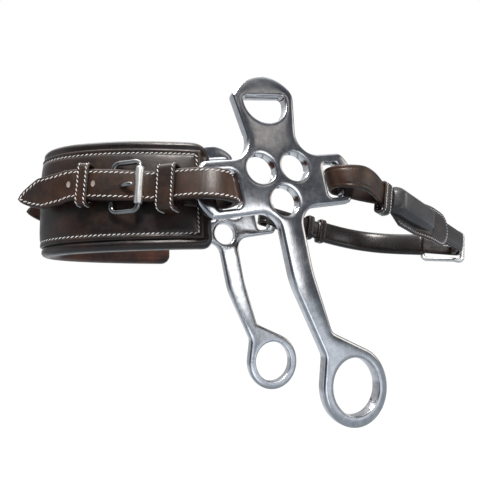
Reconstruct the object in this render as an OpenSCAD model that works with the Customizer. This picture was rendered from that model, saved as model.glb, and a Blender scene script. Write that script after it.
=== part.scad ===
// Bitless hackamore: a padded leather noseband and a padded curb strap, joined by two
// stainless lever cheeks.  X runs from the nose (-) to the jaw (+), Y across the head
// (- is the horse's left), Z up the cheek plates.  The origin lies on the axis through
// the two front bars, midway between the cheeks.

/* [Cheek plates] */
// Thickness of a cheek plate
plate_t = 6.5; // [5:0.5:8]
// Gap between the two cheek plates
plate_gap = 94; // [90:1:110]
// Radius of the rein ring bore
rein_bore_r = 15; // [12:0.5:16]
// Radius of the three round holes
round_hole_r = 8.5; // [6:0.5:9]
// Height of the side slots that the straps pass through
slot_h = 21.6; // [21:0.2:22]

/* [Noseband] */
// Height of the padded noseband
pad_h = 56; // [46:1:60]
// Thickness of the padding
pad_t = 8; // [6:0.5:10]
// Rise of the noseband towards the nose, against the plates
nose_tilt = 8.7; // [6:0.1:10]
// Rise of the buckled straps on it
strap_tilt = 12.5; // [11:0.5:13]
// Width of the noseband straps
strap_w = 15.4; // [14:0.2:15.6]

/* [Curb strap] */
// Fall of the curb strap behind the plates
curb_tilt = 22; // [15:1:23]
// Width of the curb's narrow strap
curb_w = 14.4; // [13:0.2:14.6]
// Width of the padded part
curb_pad_w = 18; // [16:0.5:20]
// Thickness of the padded part
curb_pad_t = 6.5; // [5:0.5:8]

/* [Hidden] */
$fn = 48;
leather = [0.16, 0.10, 0.08];
light_leather = [0.45, 0.22, 0.10];
steel = [0.78, 0.79, 0.80];
play = 0.05;           // running clearance of a pin in its bore

// Cheek plate, drawn round the centre of its cross
arm_x = 44;            // centre of the plate to the middle of each side bar
arm_h = 15.2;          // half height of a side arm
arm_tip_r = 20.1;      // radius of its tip
slot_z = -0.9;         // middle of a side slot
slot_bar_x = 39.5;     // its side along the bar
slot_web_x = 25.4;     // its side towards the round holes
bridle_r = 13.2;       // round side of the bridle slot
bridle_z = 48;         // its centre
bridle_lip = 3;        // straight part above that centre
ring_x = 20.2;
ring_z = -115.6;
ring_r = 21;
inner_y = plate_gap / 2;
outer_y = inner_y + plate_t;

// Noseband plan: one Bezier curve a side, the outer face of the padding
nose_curve = [[7, -41], [-13, -41], [-77.5, -28], [-77.5, 0]];
lining_t = 2;
panel_t = 1.6;
panel_inset = 5;
panel_start = 0.075;
pad_z = 1.4;           // height of the padding's middle
strap_z = 1.2;         // height of the straps' middle
ply = 2.2;             // one strap
base_o = 2.1;          // inner face of what is sewn to the panel, out from the padding
base_top = 5.9;        // outer face of the doubled strap that holds the buckle
billet_o = 6.1;        // billet's inner face
fold_x = 13;           // middle of the strap where it turns through the slot
fold_in_r = 4.6;       // its turn at the plate's inner face
fold_out_r = 5.8;      // and outside the plate
loop_out = outer_y + 0.9 + ply / 2;    // middle of the strap outside the plate
under_end = 0.19;      // where the billet's sewn end lies
land_t = 0.36;         // where the billet comes down on the noseband
bend_t = 0.64;         // where the loose end starts to droop
tip_droop = 13;        // by this angle
billet_tip = [-91, -12];
pad_right_end = 1.875; // the padding sits a little to the left
fixed_keeper_u = 0.62;  // along the billet's slope from cheek to noseband
running_keeper_t = 0.605;
buckle_mid_t = 0.437;
hole_t = 0.56;         // the next hole
keeper_t = 1.2;
keeper_room = 2.2;     // between a keeper's side and the strap's edge
keeper_in = 3.3;       // running keeper's inside, out from the padding

// Buckles
bar_r = 1.05;
wire_r = 1.5;
roller_r = 2.1;
prong_r = 1.1;
nose_buckle_l = 14.5;  // fixed bar to roller
nose_buckle_h = 25.5;  // between the middles of the side bars
nose_buckle_z = -0.8;  // its middle, below the strap's middle
nose_roller_l = 19;
bar_o = 4.6;
roller_o = billet_o + ply + 0.15 + roller_r;
curb_buckle_l = 23;
curb_buckle_h = 20;

// Curb strap plan, from the rear bars: the left side is straight from curb_a to curb_b
curb_z = -1.4;
curb_ply = 2;
curb_fold_x = -8.6;
curb_fold_r = 3;
curb_in_y = inner_y - 2.1;
curb_out_y = outer_y + 2.5;
curb_a = [27, -51.9];
curb_b = [133, -19];
curb_bar = [140, -10];
curb_frame_dir = [-0.55, 0.835];
curb_pad_curve = [[22, 45.5], [86, 56], [104, 36], [119, 16]];
pad_start = 0.13;
billet_gap = 0.2;

// ---- curves -----------------------------------------------------------------
function bezier(c, t) = pow(1 - t, 3) * c[0] + 3 * pow(1 - t, 2) * t * c[1]
    + 3 * (1 - t) * t * t * c[2] + pow(t, 3) * c[3];
function slope(c, t) = pow(1 - t, 2) * (c[1] - c[0]) + 2 * (1 - t) * t * (c[2] - c[1])
    + t * t * (c[3] - c[2]);
function unit(v) = v / norm(v);
function left_of(d) = [-d.y, d.x];
function steps(a, b, n) = [for (i = [0:n]) a + (b - a) * i / n];

// A point on the noseband's outer face, out by o.  t is 0 at the left cheek, 1 at the
// nose and 2 at the right cheek.
function half_wall(t, o) = bezier(nose_curve, t) + o * left_of(unit(slope(nose_curve, t)));
function wall(t, o) = t <= 1 ? half_wall(t, o)
    : [half_wall(2 - t, o).x, -half_wall(2 - t, o).y];
function wall_dir(t) = unit(slope(nose_curve, t));

// The arc that rounds corner b of the path a, b, c
function fillet(a, b, c, r, n = 6) =
    let (u = unit(a - b), v = unit(c - b), half = acos(u * v) / 2,
         m = b + unit(u + v) * r / sin(half), p = b + u * r / tan(half) - m,
         q = b + v * r / tan(half) - m, a0 = atan2(p.y, p.x),
         turn = (atan2(q.y, q.x) - a0 + 540) % 360 - 180)
    [for (i = [0:n]) m + r * [cos(a0 + turn * i / n), sin(a0 + turn * i / n)]];
// A closed outline from corners [x, z, r]
function rounded(v) = [for (i = [0:len(v) - 1])
    let (a = v[(i + len(v) - 1) % len(v)], b = v[i], c = v[(i + 1) % len(v)])
    each (b[2] == 0 ? [[b.x, b.y]]
        : fillet([a.x, a.y], [b.x, b.y], [c.x, c.y], b[2], ceil(4 + b[2] / 4)))];

// Both edges of a band of thickness t along the middle line p
function along(p, i) = unit(p[min(i + 1, len(p) - 1)] - p[max(i - 1, 0)]);
function band_outline(p, t) = concat(
    [for (i = [0:len(p) - 1]) p[i] + t / 2 * left_of(along(p, i))],
    [for (i = [len(p) - 1:-1:0]) p[i] - t / 2 * left_of(along(p, i))]);
module band(p, t, h) {
    linear_extrude(h, center = true) polygon(band_outline(p, t));
}
module capsule(a, b, r) {
    translate(a) circle(r);
    translate(b) circle(r);
    translate(a) rotate(atan2(b.y - a.y, b.x - a.x))
        translate([0, -r]) square([norm(b - a), 2 * r]);
}

// ---- frames -----------------------------------------------------------------
module nose_frame() { rotate([0, nose_tilt, 0]) translate([0, 0, pad_z]) children(); }
module strap_frame() { rotate([0, strap_tilt, 0]) translate([0, 0, strap_z]) children(); }
module curb_frame() {
    translate([2 * arm_x, 0, 0]) rotate([0, curb_tilt, 0]) translate([0, 0, curb_z]) children();
}
// A station on the noseband: x towards the strap's tip, y out, z up
module at_wall(t) {
    p = wall(t, 0);
    d = wall_dir(t);
    translate([p.x, p.y, 0]) rotate([0, 0, atan2(d.y, d.x)]) children();
}
// A station on the straight of the curb strap: x to the rear, y in, z up
module at_curb(s) {
    d = unit(curb_b - curb_a);
    p = curb_a + d * s;
    translate([p.x, p.y, 0]) rotate([0, 0, atan2(d.y, d.x)]) children();
}
module right_side() { mirror([0, 1, 0]) children(); }

// ---- cheek plates -----------------------------------------------------------
// Corners of the plate and the radius that rounds each; the ring's arc comes between
ring_arc = [for (a = steps(160, 415, 40)) [ring_x + ring_r * cos(a), ring_z + ring_r * sin(a), 0]];
plate_corners = concat(
    [[0, 78, 22], [-19.4, 52, 3], [-13.4, arm_h, 12], [-42.9, arm_h, 2.2],
     [-58.1, 0, arm_tip_r], [-42.9, -arm_h, 2.2], [-6, -arm_h, 10], [-5.6, -54, 50],
     [4.9, -95.5, 8]],
    ring_arc,
    [[12.6, -84.7, 5], [8.6, -50, 60], [9, -arm_h, 10], [42.9, -arm_h, 2.2],
     [58.1, 0, arm_tip_r], [42.9, arm_h, 2.2], [13.4, arm_h, 12], [19.4, 52, 3]]);
module side_slot() {
    low = slot_z - slot_h / 2;
    high = slot_z + slot_h / 2;
    polygon(rounded([[slot_web_x, low, 4.5], [slot_bar_x, low, 2], [slot_bar_x, high, 2],
        [slot_web_x, high, 4.5]]));
}
module bridle_slot() {
    translate([0, bridle_z]) polygon(rounded(concat(
        [for (a = steps(180, 360, 36)) [bridle_r * cos(a), bridle_r * sin(a), 0]],
        [[bridle_r, bridle_lip, 2.5], [-bridle_r, bridle_lip, 2.5]])));
}
module plate_face() {
    difference() {
        polygon(rounded(plate_corners));
        for (p = [[0, -10], [-10.6, 9], [10.6, 9]]) translate(p) circle(round_hole_r);
        translate([ring_x, ring_z]) circle(rein_bore_r);
        bridle_slot();
        side_slot();
        mirror([1, 0]) side_slot();
    }
}
module cheek() {
    color(steel) translate([arm_x, -inner_y, 0]) rotate([90, 0, 0])
        linear_extrude(plate_t) plate_face();
}
module left_cheek() { cheek(); }
module right_cheek() { right_side() cheek(); }

// ---- noseband ---------------------------------------------------------------
// Layers share their stations, grid to a side, so that their faces meet exactly
grid = 40;
module wall_layer(t0, t1, o0, o1, h) {
    linear_extrude(h, center = true) polygon(concat(
        [for (k = [t0 * grid:t1 * grid]) wall(k / grid, o0)],
        [for (k = [t1 * grid:-1:t0 * grid]) wall(k / grid, o1)]));
}
module nose_lining() {
    color(light_leather) nose_frame() wall_layer(0, pad_right_end, -pad_t - lining_t, -pad_t, pad_h - 4);
}
module nose_pad() {
    color(leather) nose_frame() wall_layer(0, pad_right_end, -pad_t, 0, pad_h);
}
module nose_panel() {
    color(leather) nose_frame()
        wall_layer(panel_start, pad_right_end - panel_start, 0, panel_t,
            pad_h - 2 * panel_inset);
}

// A slot for the prong through the straps, along the strap from x0 to x1
module prong_slot(x0, x1, o) {
    translate([x0, o - 4, -prong_r - 0.5]) cube([x1 - x0, 8, 2 * prong_r + 1]);
}
bar_x = nose_buckle_l / 2;
module base_strap() {
    color(leather) strap_frame() difference() {
        union() {
            wall_layer(0.475, 0.55, base_o, base_top, strap_w);
            wall_layer(0.525, 0.625, keeper_in + 0.2, base_top, strap_w);
        }
        at_wall(buckle_mid_t) translate([0, 0, nose_buckle_z]) {
            translate([bar_x, bar_o, 0]) cylinder(r = bar_r + play, h = 30, center = true);
            prong_slot(bar_x - 4, bar_x + 3, bar_o);
        }
    }
}
module left_base_strap() { base_strap(); }
module right_base_strap() { right_side() base_strap(); }

// The billet's slope from the cheek down to the noseband
function descent() = let (land = wall(land_t, billet_o + ply / 2))
    [[-4.5, -loop_out], [-13, -loop_out - 0.4], land - 8 * wall_dir(land_t), land];
// Middle line of the billet: sewn end, fold through the slot, down to the noseband
// and along it to the keeper
function billet_path() =
    let (under_o = base_o + ply / 2, o = billet_o + ply / 2,
         start = wall(0.02, under_o))
    concat([for (t = steps(under_end, 0.02, 8)) wall(t, under_o)],
        fillet(start, [fold_x, start.y - 0.05], [fold_x, -loop_out], fold_in_r),
        fillet([fold_x, start.y], [fold_x, -loop_out], [0, -loop_out], fold_out_r),
        [for (t = steps(0, 0.95, 12)) bezier(descent(), t)],
        [for (t = steps(land_t, bend_t, 12)) wall(t, o)]);
// Its loose end, which droops and stands off the noseband
module billet_end() {
    off = wall(bend_t, billet_o + ply / 2);
    path = [for (t = steps(0, 1, 10)) bezier([off, off + 13 * wall_dir(bend_t),
        billet_tip + [10, -7], billet_tip], t) - off];
    point = 12;
    width = strap_w / 2;
    translate([off.x, off.y, 0]) rotate([0, -tip_droop, 0]) intersection() {
        band(path, ply, strap_w);
        rotate([90, 0, 0]) linear_extrude(80, center = true)
            polygon([[1, width], [path[10].x + point, width], [path[10].x + 3, width / 2],
                [path[10].x, 0], [path[10].x + 3, -width / 2],
                [path[10].x + point, -width], [1, -width]]);
    }
}
module billet() {
    color(leather) strap_frame() {
        difference() {
            band(billet_path(), ply, strap_w);
            at_wall(buckle_mid_t) translate([0, 0, nose_buckle_z])
                prong_slot(-bar_x + 4, bar_x + 2.4, billet_o + ply / 2);
            at_wall(hole_t) rotate([90, 0, 0]) cylinder(r = 1.6, h = 30, center = true);
        }
        billet_end();
    }
}
module left_billet() { billet(); }
module right_billet() { right_side() billet(); }

// A keeper's outline across the strap: w wide in z, from o0 out to o1
module keeper(length, w, o0, o1, closed) {
    t = keeper_t;
    translate([-length / 2, 0, 0]) rotate([90, 0, 90]) linear_extrude(length)
        difference() {
            translate([o0 - (closed ? t : 0), -w / 2 - t])
                square([o1 - o0 + t + (closed ? t : 0), w + 2 * t]);
            translate([o0 - (closed ? 0 : 1), -w / 2]) square([o1 - o0 + (closed ? 0 : 1), w]);
        }
}
module fixed_keeper() {
    p = bezier(descent(), fixed_keeper_u);
    d = slope(descent(), fixed_keeper_u);
    color(leather) strap_frame() translate([p.x, p.y, 0]) rotate([0, 0, atan2(d.y, d.x)])
        keeper(9.5, strap_w + 2 * keeper_room, -6, ply / 2 + 0.6, false);
}
module left_fixed_keeper() { fixed_keeper(); }
module right_fixed_keeper() { right_side() fixed_keeper(); }
module running_keeper() {
    color(leather) strap_frame() at_wall(running_keeper_t)
        keeper(5.8, strap_w + 2 * keeper_room, keeper_in, billet_o + ply + 0.6, true);
}
module left_running_keeper() { running_keeper(); }
module right_running_keeper() { right_side() running_keeper(); }

// ---- buckles ----------------------------------------------------------------
// Fixed bar at [0, 0], free bar at free; both stand along z, w apart
module buckle_frame(free, w, clear) {
    linear_extrude(w, center = true) circle(bar_r);
    translate(free) linear_extrude(w, center = true) circle(bar_r);
    for (z = [-1, 1]) translate([0, 0, z * w / 2]) linear_extrude(2 * wire_r, center = true)
        capsule([0, 0], free, wire_r + clear);
}
// Ring on the fixed bar and a pin that lies on the free bar
module buckle_prong(free, over) {
    reach = norm(free) + 1.5;
    lie = atan2(free.y, free.x) + asin(over / norm(free));
    difference() {
        union() {
            cylinder(r = bar_r + play + 0.6, h = 2 * prong_r, center = true);
            rotate([0, 0, lie]) rotate([0, 90, 0]) cylinder(r = prong_r, h = reach);
        }
        cylinder(r = bar_r + play, h = 8, center = true);
    }
}
nose_free = [-nose_buckle_l, roller_o - bar_o];
module at_nose_buckle() {
    strap_frame() at_wall(buckle_mid_t) translate([bar_x, bar_o, nose_buckle_z]) children();
}
module nose_buckle() { color(steel) at_nose_buckle() buckle_frame(nose_free, nose_buckle_h, 0.1); }
module left_buckle() { nose_buckle(); }
module right_buckle() { right_side() nose_buckle(); }
module roller() {
    color(steel) at_nose_buckle() translate(nose_free) difference() {
        cylinder(r = roller_r, h = nose_roller_l, center = true);
        cylinder(r = bar_r + play, h = 40, center = true);
    }
}
module left_roller() { roller(); }
module right_roller() { right_side() roller(); }
module nose_prong() {
    color(steel) at_nose_buckle() mirror([1, 0, 0])
        buckle_prong([nose_buckle_l, roller_o - bar_o], roller_r + prong_r + 0.1);
}
module left_prong() { nose_prong(); }
module right_prong() { right_side() nose_prong(); }

// ---- curb strap -------------------------------------------------------------
curb_dir = unit(curb_b - curb_a);
curb_out = -left_of(curb_dir);
frame_out = -left_of(curb_frame_dir);
curb_free = curb_bar + curb_buckle_l * curb_frame_dir;
curb_sewn = 27;        // length of the doubled end, from curb_a

// Doubled strap round the left rear bar, and back to the buckle
function chape_path() = concat(
    [curb_a + curb_dir * curb_sewn - curb_out * (curb_ply + 0.1)],
    [for (t = steps(0, 1, 8)) bezier([curb_a - curb_out * (curb_ply + 0.1),
        [18, -curb_in_y - 2], [12, -curb_in_y], [0, -curb_in_y]], t)],
    fillet([0, -curb_in_y], [curb_fold_x, -curb_in_y], [curb_fold_x, -curb_out_y], curb_fold_r),
    fillet([curb_fold_x, -curb_in_y], [curb_fold_x, -curb_out_y], [0, -curb_out_y], curb_fold_r),
    [for (t = steps(0, 1, 10)) bezier([[0, -curb_out_y], [14, -curb_out_y - 1],
        curb_a - 10 * curb_dir, curb_a], t)],
    [for (t = steps(0, 1, 6)) bezier([curb_b, curb_b + 2.5 * curb_dir,
        curb_bar - [4, 3.6], curb_bar + [0.5, 0.6]], t)]);
module curb_chape() {
    color(leather) curb_frame() difference() {
        union() {
            band(chape_path(), curb_ply, curb_w);
            translate(curb_bar) cylinder(r = 2.2, h = curb_w, center = true);
        }
        translate(curb_bar) cylinder(r = bar_r + play, h = 40, center = true);
        translate(curb_bar) cube([8, 8, 2 * prong_r + 1], center = true);
    }
}
// Billet from the padded part, through the buckle and back into the box keeper
billet_mid = curb_ply + billet_gap;
function curb_billet_path() = concat(
    [curb_pad_curve[3] + 0.1 * unit(curb_pad_curve[3] - curb_pad_curve[2]),
     curb_free - frame_out * 2.4],
    fillet(curb_free - frame_out * 2.4, curb_bar + frame_out * 4.7 - curb_frame_dir * 3.4,
        curb_b + curb_dir * 1.5 + curb_out * billet_mid, 3.2),
    [curb_b + curb_dir * 1.5 + curb_out * billet_mid,
     curb_a + curb_dir * 53 + curb_out * billet_mid]);
module curb_billet() {
    color(leather) curb_frame() difference() {
        band(curb_billet_path(), curb_ply, curb_w);
        translate(curb_bar) rotate([0, 0, atan2(curb_frame_dir.y, curb_frame_dir.x)])
            translate([-1.5, -7, -prong_r - 0.5]) cube([19, 14, 2 * prong_r + 1]);
    }
}
module curb_plate_keeper() {
    color(leather) curb_frame() at_curb(4.8) mirror([0, 1, 0])
        keeper(5.5, curb_w + 0.6, -curb_ply * 1.5 - 0.35, curb_ply / 2 + 0.3, true);
}
box_l = 52;
module curb_box_keeper() {
    color(leather) curb_frame() at_curb(11 + box_l / 2) mirror([0, 1, 0])
        keeper(box_l, curb_w + 0.8, -curb_ply / 2, curb_ply * 1.5 + billet_gap + 0.5, false);
}
module curb_backing() {
    w = 21;
    color(leather) curb_frame() at_curb(curb_sewn + 1) translate([0, curb_ply / 2 + 0.1, 0])
        rotate([-90, 0, 0]) linear_extrude(1.6) {
            translate([0, -w / 2]) square([44, w]);
            translate([44, 0]) circle(w / 2);
        }
}
module at_curb_buckle() {
    curb_frame() translate(curb_bar)
        rotate([0, 0, atan2(curb_frame_dir.y, curb_frame_dir.x)]) children();
}
module curb_buckle() {
    color(steel) at_curb_buckle() buckle_frame([curb_buckle_l, 0], curb_buckle_h, 0.1);
}
module curb_prong() {
    color(steel) at_curb_buckle() mirror([0, 1, 0])
        buckle_prong([curb_buckle_l, 0], bar_r + prong_r + 0.1);
}
// Padded part and the leather cover plies on its two faces
module curb_pad() {
    color(leather) curb_frame() band([for (t = steps(pad_start, 1, 24))
        bezier(curb_pad_curve, t)], curb_pad_t - 2.4, curb_pad_w - 2);
}
module curb_pad_cover() {
    t = 1.2;
    path = [for (t = steps(pad_start, 1, 24)) bezier(curb_pad_curve, t)];
    color(leather) curb_frame() difference() {
        band(path, curb_pad_t, curb_pad_w);
        band(path, curb_pad_t - 2 * t, curb_pad_w - 2);
    }
}
module curb_far_loop() {
    path = concat(
        [for (t = steps(0, 1, 10)) bezier([[44.2, 46.6], [30, 44.9], [14, curb_in_y],
            [0, curb_in_y]], t)],
        fillet([0, curb_in_y], [curb_fold_x, curb_in_y], [curb_fold_x, curb_out_y], curb_fold_r),
        fillet([curb_fold_x, curb_in_y], [curb_fold_x, curb_out_y], [0, curb_out_y], curb_fold_r),
        [for (t = steps(0, 1, 10)) bezier([[0, curb_out_y], [14, curb_out_y], [24, 47.6],
            [44.2, 49.6]], t)]);
    color(leather) curb_frame() band(path, curb_ply, curb_w);
}
module at_pad(t) {
    p = bezier(curb_pad_curve, t);
    d = slope(curb_pad_curve, t);
    translate([p.x, p.y, 0]) rotate([0, 0, atan2(d.y, d.x)]) children();
}
module pad_keeper(t) {
    color(leather) curb_frame() at_pad(t)
        keeper(4.5, curb_pad_w + 0.6, -curb_pad_t / 2 - 0.2, curb_pad_t / 2 + 0.2, true);
}
module curb_inner_keeper() { pad_keeper(0.08); }
module curb_outer_keeper() { pad_keeper(0.16); }

left_cheek();
right_cheek();
nose_lining();
nose_pad();
nose_panel();
left_base_strap();
right_base_strap();
left_billet();
right_billet();
left_fixed_keeper();
right_fixed_keeper();
left_running_keeper();
right_running_keeper();
left_buckle();
right_buckle();
left_roller();
right_roller();
left_prong();
right_prong();
curb_chape();
curb_plate_keeper();
curb_box_keeper();
curb_backing();
curb_buckle();
curb_prong();
curb_billet();
curb_pad();
curb_pad_cover();
curb_far_loop();
curb_inner_keeper();
curb_outer_keeper();
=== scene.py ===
"""Looks for a bitless hackamore: polished steel cheeks, a padded noseband, stitched straps.

Shapes are given in millimetres in the part's own frame: X from nose to jaw, Y to the
horse's right, Z up the cheek plates, with the origin between the two front bars.
"""
import math

import bpy
import numpy as np
from mathutils import Matrix, Vector, geometry


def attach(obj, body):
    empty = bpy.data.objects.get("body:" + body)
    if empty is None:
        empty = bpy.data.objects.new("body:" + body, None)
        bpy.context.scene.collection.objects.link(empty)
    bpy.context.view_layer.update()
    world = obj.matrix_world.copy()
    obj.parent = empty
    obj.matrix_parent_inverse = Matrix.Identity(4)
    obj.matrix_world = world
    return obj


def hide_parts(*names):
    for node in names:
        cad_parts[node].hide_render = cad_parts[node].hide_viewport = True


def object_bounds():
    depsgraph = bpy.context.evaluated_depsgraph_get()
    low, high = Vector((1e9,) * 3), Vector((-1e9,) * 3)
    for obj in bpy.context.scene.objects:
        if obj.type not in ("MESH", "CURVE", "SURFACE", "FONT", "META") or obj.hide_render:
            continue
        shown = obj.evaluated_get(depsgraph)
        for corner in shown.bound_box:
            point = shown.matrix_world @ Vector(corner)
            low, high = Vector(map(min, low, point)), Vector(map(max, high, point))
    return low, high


MM = 0.001
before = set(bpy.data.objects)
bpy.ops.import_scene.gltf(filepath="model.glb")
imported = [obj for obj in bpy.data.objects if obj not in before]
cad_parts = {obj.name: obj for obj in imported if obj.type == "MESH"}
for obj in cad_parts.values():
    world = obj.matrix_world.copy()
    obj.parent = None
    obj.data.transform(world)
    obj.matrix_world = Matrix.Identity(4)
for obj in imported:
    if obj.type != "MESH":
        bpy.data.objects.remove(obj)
cad_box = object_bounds()


# ---- camera ----
def turn(axis, angle):
    return np.array(Matrix.Rotation(angle, 3, axis))


CAMERA_AT = (-0.0604, -0.2275, -0.0464)
PITCH, YAW, ROLL = -0.107, -0.397, -0.148
LENS = 28.02
level = np.array([[1, 0, 0], [0, 0, -1], [0, 1, 0]])
looking = turn("Z", ROLL) @ turn("Y", YAW) @ turn("X", PITCH) @ level
camera = bpy.data.objects.new("camera", bpy.data.cameras.new("camera"))
bpy.context.scene.collection.objects.link(camera)
axes = Matrix(np.column_stack([looking[0], -looking[1], -looking[2]]).tolist())
camera.matrix_world = Matrix.Translation(CAMERA_AT) @ axes.to_4x4()
camera.data.sensor_width = 36
camera.data.lens = LENS
camera.data.clip_start = 0.005
bpy.context.scene.camera = camera


# ---- materials ----
class Nodes:
    """The node tree of a material or a world, built by name."""

    def __init__(self, owner, shader="Principled BSDF"):
        owner.use_nodes = True
        self.owner = owner
        self.tree = owner.node_tree
        self.shader = self.tree.nodes[shader]

    def add(self, kind, **values):
        node = self.tree.nodes.new(kind)
        for key, value in values.items():
            if hasattr(node, key):
                setattr(node, key, value)
            else:
                node.inputs[key.replace("_", " ")].default_value = value
        return node

    def link(self, source, target):
        self.tree.links.new(source, target)

    def set(self, **values):
        for key, value in values.items():
            self.shader.inputs[key.replace("_", " ")].default_value = value

    def where(self, scale=(1, 1, 1), uv=False):
        place = self.add("ShaderNodeMapping")
        place.inputs["Scale"].default_value = scale
        source = self.add("ShaderNodeTexCoord").outputs["UV" if uv else "Object"]
        self.link(source, place.inputs["Vector"])
        return place.outputs["Vector"]

    def noise(self, scale, detail=3.0, rough=0.5, vector=None):
        node = self.add("ShaderNodeTexNoise", Scale=scale, Detail=detail, Roughness=rough)
        self.link(vector or self.where(), node.inputs["Vector"])
        return node.outputs["Fac"]

    def ramp(self, source, stops):
        node = self.add("ShaderNodeValToRGB")
        marks = node.color_ramp.elements
        while len(marks) < len(stops):
            marks.new(0.5)
        for mark, (at, colour) in zip(marks, stops):
            mark.position = at
            mark.color = (*colour, 1)
        self.link(source, node.inputs["Fac"])
        return node.outputs["Color"]

    def range(self, source, low, high, start=0.3, end=0.7):
        node = self.add("ShaderNodeMapRange")
        for key, value in (("From Min", start), ("From Max", end), ("To Min", low), ("To Max", high)):
            node.inputs[key].default_value = value
        self.link(source, node.inputs["Value"])
        return node.outputs["Result"]

    def bump(self, source, depth, strength=1.0, under=None):
        node = self.add("ShaderNodeBump", Strength=strength, Distance=depth)
        self.link(source, node.inputs["Height"])
        if under is not None:
            self.link(under, node.inputs["Normal"])
        return node.outputs["Normal"]


def material(name):
    return Nodes(bpy.data.materials.new(name))


def leather(name, dark, warm, rough=(0.3, 0.5), grain=0.00006, coat=0.35, streaks=False):
    """Dyed hide: patchy colour, fine grain, creases, and streaks across a strap's length."""
    n = material(name)
    patches = n.noise(70, 5, 0.62)
    n.link(n.ramp(patches, [(0.34, dark), (0.72, warm)]), n.shader.inputs["Base Color"])
    n.link(n.range(n.noise(260, 4, 0.6), *rough), n.shader.inputs["Roughness"])
    cells = n.add("ShaderNodeTexVoronoi", Scale=1300)
    n.link(n.where(), cells.inputs["Vector"])
    fine = n.bump(cells.outputs["Distance"], grain, 0.3)
    creases = n.bump(n.noise(330, 4, 0.6, n.where((1, 1, 2.2))), grain * 1.6, 0.45, fine)
    if streaks:
        lines = n.noise(1100, 3, 0.6, n.where((1, 0.1, 1), uv=True))
        creases = n.bump(lines, grain * 2.5, 0.5, creases)
    n.link(n.bump(n.noise(45, 2), 0.0007, 0.3, creases), n.shader.inputs["Normal"])
    n.set(Coat_Weight=coat, Coat_Roughness=0.16, Specular_IOR_Level=0.5)
    return n.owner


def steel(name, colour, rough):
    """Polished metal: smeared gloss, small mottled spots, fine brushed lines and soft waves."""
    n = material(name)
    brushed = n.noise(900, 4, 0.65, n.where((1, 1, 0.16)))
    n.link(n.range(n.noise(38, 6, 0.6), *rough), n.shader.inputs["Roughness"])
    tone = tuple(0.78 * c for c in colour)
    mottle = n.noise(330, 6, 0.72)
    n.link(n.ramp(mottle, [(0.36, tone), (0.62, colour)]), n.shader.inputs["Base Color"])
    lines = n.bump(brushed, 0.00003, 0.45)
    n.link(n.bump(n.noise(34, 3, 0.45), 0.0011, 0.36, lines), n.shader.inputs["Normal"])
    n.set(Metallic=1.0)
    return n.owner


def thread(name, colour):
    """Twisted thread, a little darker in places."""
    n = material(name)
    shade = tuple(0.8 * c for c in colour)
    n.link(n.ramp(n.noise(500, 3), [(0.3, shade), (0.62, colour)]), n.shader.inputs["Base Color"])
    twist = n.add("ShaderNodeTexWave", Scale=700, Distortion=2.0)
    n.link(n.where((1, 0.6, 1)), twist.inputs["Vector"])
    n.link(n.bump(twist.outputs["Fac"], 0.0001, 0.6), n.shader.inputs["Normal"])
    n.set(Roughness=0.7, Specular_IOR_Level=0.3)
    return n.owner


HIDE = leather("dark_leather", (0.008, 0.005, 0.0045), (0.030, 0.016, 0.012), (0.24, 0.42), coat=0.3)
PANEL_HIDE = leather("panel_leather", (0.009, 0.005, 0.004), (0.042, 0.019, 0.011), (0.28, 0.5),
                     coat=0.12, streaks=True)
STRAP_HIDE = leather("strap_leather", (0.012, 0.006, 0.004), (0.075, 0.030, 0.013), (0.34, 0.5),
                     coat=0.1, streaks=True)
CURB_HIDE = leather("curb_leather", (0.006, 0.004, 0.004), (0.017, 0.011, 0.010), (0.24, 0.33), 0.00004)
# The box keeper's leather: dark hide with a cool grey sheen painted into its colour, a painted
# reflection.
SHEEN_BOX_HIDE = leather("box_leather_painted_sheen", (0.022, 0.021, 0.024), (0.060, 0.059, 0.065), (0.24, 0.40), coat=0.4,
                   streaks=True)
EDGE = leather("edge_leather", (0.014, 0.007, 0.005), (0.045, 0.018, 0.011), (0.4, 0.65), coat=0.15)
LINING = leather("lining_leather", (0.018, 0.004, 0.003), (0.13, 0.036, 0.012), (0.4, 0.6), coat=0.1)
# Near-black leather that closes the box keeper's mouth: painted shade where the mouth is hollow.
MOUTH_SHADE = leather("mouth_painted_shade", (0.004, 0.003, 0.003), (0.010, 0.006, 0.005), (0.7, 0.9), coat=0.0)
RAW = leather("raw_leather", (0.30, 0.25, 0.22), (0.5, 0.43, 0.38), (0.7, 0.9), coat=0.0)
STEEL = steel("polished_steel", (0.61, 0.62, 0.645), (0.09, 0.22))
# Buckle frame and prong steel, its colour painted darker than the plates' to stand for dark
# surroundings in its reflection: painted shade.
DARKENED_STEEL = steel("buckle_steel_painted_dark", (0.30, 0.30, 0.30), (0.06, 0.18))
# Roller and curb buckle steel, its colour painted near white with a rough finish: a painted highlight.
BRIGHTENED_STEEL = steel("roller_steel_painted_bright", (0.95, 0.95, 0.93), (0.30, 0.42))
THREAD = thread("white_thread", (0.95, 0.93, 0.90))
DULL_THREAD = thread("grey_thread", (0.60, 0.56, 0.56))


# ---- curves, as in the part ----
def bezier(c, t):
    c = np.asarray(c, float)
    return ((1 - t) ** 3 * c[0] + 3 * (1 - t) ** 2 * t * c[1]
            + 3 * (1 - t) * t * t * c[2] + t ** 3 * c[3])


def curve(n, *c):
    """n points along a Bezier curve."""
    return [bezier(c, t) for t in np.linspace(0, 1, n)]


def unit(v):
    """A vector, or each row of several, at length 1."""
    v = np.asarray(v, float)
    return v / np.linalg.norm(v, axis=-1, keepdims=True)


def distance_along(points):
    """How far each point lies from the first, along the path."""
    steps = np.linalg.norm(np.diff(np.asarray(points, float), axis=0), axis=1)
    return np.concatenate([[0], np.cumsum(steps)])


def slope(c, t):
    c = np.asarray(c, float)
    return unit((1 - t) ** 2 * (c[1] - c[0]) + 2 * (1 - t) * t * (c[2] - c[1]) + t * t * (c[3] - c[2]))


def left_of(d):
    return np.array([-d[1], d[0]])


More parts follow.
